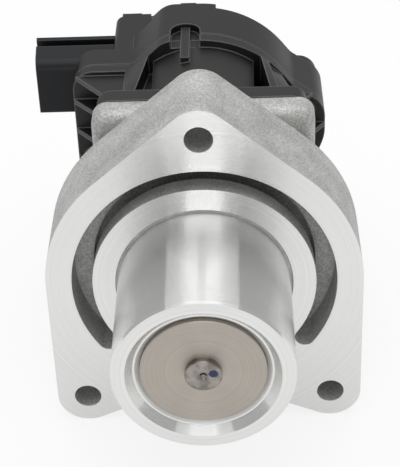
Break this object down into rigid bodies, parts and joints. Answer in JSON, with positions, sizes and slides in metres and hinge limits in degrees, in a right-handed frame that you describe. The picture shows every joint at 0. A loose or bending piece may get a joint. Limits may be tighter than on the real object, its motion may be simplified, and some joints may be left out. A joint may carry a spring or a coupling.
{
  "type": "egr valve",
  "caption": "Electric exhaust gas valve: lobed cast flange with a curved gas slot, turned nozzle with poppet disc, and a geared motor actuator with side connector.",
  "frame": {"origin": "where the nozzle's axis meets the machined flange face", "axes": "-Y along the nozzle and out of its mouth, +Z towards the single top bolt hole, +X to the right when the nozzle is looked into"},
  "size_m": [0.0845, 0.1237, 0.0905],
  "materials": {
    "cast": "sand-cast grain with machined face, nozzle and bores",
    "stainless": "fine turned",
    "steel": "satin",
    "spring_steel": "drawn wire",
    "bronze": "sintered, satin",
    "housing_plastic": "glass-filled moulding, fine matt grain",
    "cover_plastic": "moulded, semi-matt",
    "connector_plastic": "moulded, semi-gloss",
    "seal_rubber": "matt elastomer",
    "gear_plastic": "natural moulded",
    "magnet": "pressed powder",
    "winding": "enamelled wire",
    "carbon": "pressed carbon",
    "board": "coated circuit board",
    "tin": "tinned blade",
    "screw_steel": "zinc plated"
  },
  "bodies": {
    "valve": {"valve_body": "cast", "nozzle_tube": "cast", "seat_ring": "stainless", "stem_guide_bush": "bronze", "stem_seal": "seal_rubber", "seal_retainer": "steel", "return_spring": "spring_steel", "roller_guide": "steel", "cam_bush": "bronze", "sensor_board": "board", "idler_axle": "steel", "motor_can": "screw_steel", "motor_bushes": "bronze", "motor_end_cap": "gear_plastic", "motor_magnets": "magnet", "motor_brushes": "carbon", "actuator_housing": "housing_plastic", "housing_screws": "screw_steel", "housing_seal": "seal_rubber", "rear_cover": "cover_plastic", "cover_screws": "screw_steel", "cover_seal": "seal_rubber", "connector_shell": "connector_plastic", "connector_pins": "tin"},
    "poppet": {"valve_disc": "stainless", "valve_stem": "stainless", "spring_plate": "steel", "plate_collet": "steel", "cross_pin": "steel", "cam_rollers": "bronze", "guide_rollers": "bronze"},
    "rotor": {"motor_shaft": "steel", "rotor_core": "steel", "rotor_windings": "winding", "commutator": "winding", "motor_pinion": "steel"},
    "idler": {"idler_gear": "gear_plastic", "idler_pinion": "steel"},
    "cam": {"cam_sleeve": "steel", "cam_gear": "gear_plastic", "magnet_holder": "gear_plastic", "sensor_magnet": "magnet"}
  },
  "joints": [
    {"name": "motor_spin", "type": "hinge", "parent": "valve", "child": "rotor", "pos_m": [0, 0.055, 0.022], "axis": [0, -1, 0], "range_deg": [0, 1000]},
    {"name": "idler_spin", "type": "hinge", "parent": "valve", "child": "idler", "pos_m": [-0.01159, 0.072, 0.01568], "axis": [0, -1, 0], "range_deg": [-333.4, 0]},
    {"name": "cam_turn", "type": "hinge", "parent": "valve", "child": "cam", "pos_m": [0, 0.065, 0], "axis": [0, -1, 0], "range_deg": [0, 100]},
    {"name": "valve_slide", "type": "slide", "parent": "valve", "child": "poppet", "axis": [0, -1, 0], "range_m": [0, 0.007], "deforming": ["return_spring"]}
  ],
  "couplings": [
    {"joint": "motor_spin", "follows": "valve_slide", "rad_per_m": 2493.3},
    {"joint": "idler_spin", "follows": "valve_slide", "rad_per_m": -831.11},
    {"joint": "cam_turn", "follows": "valve_slide", "rad_per_m": 249.33}
  ]
}
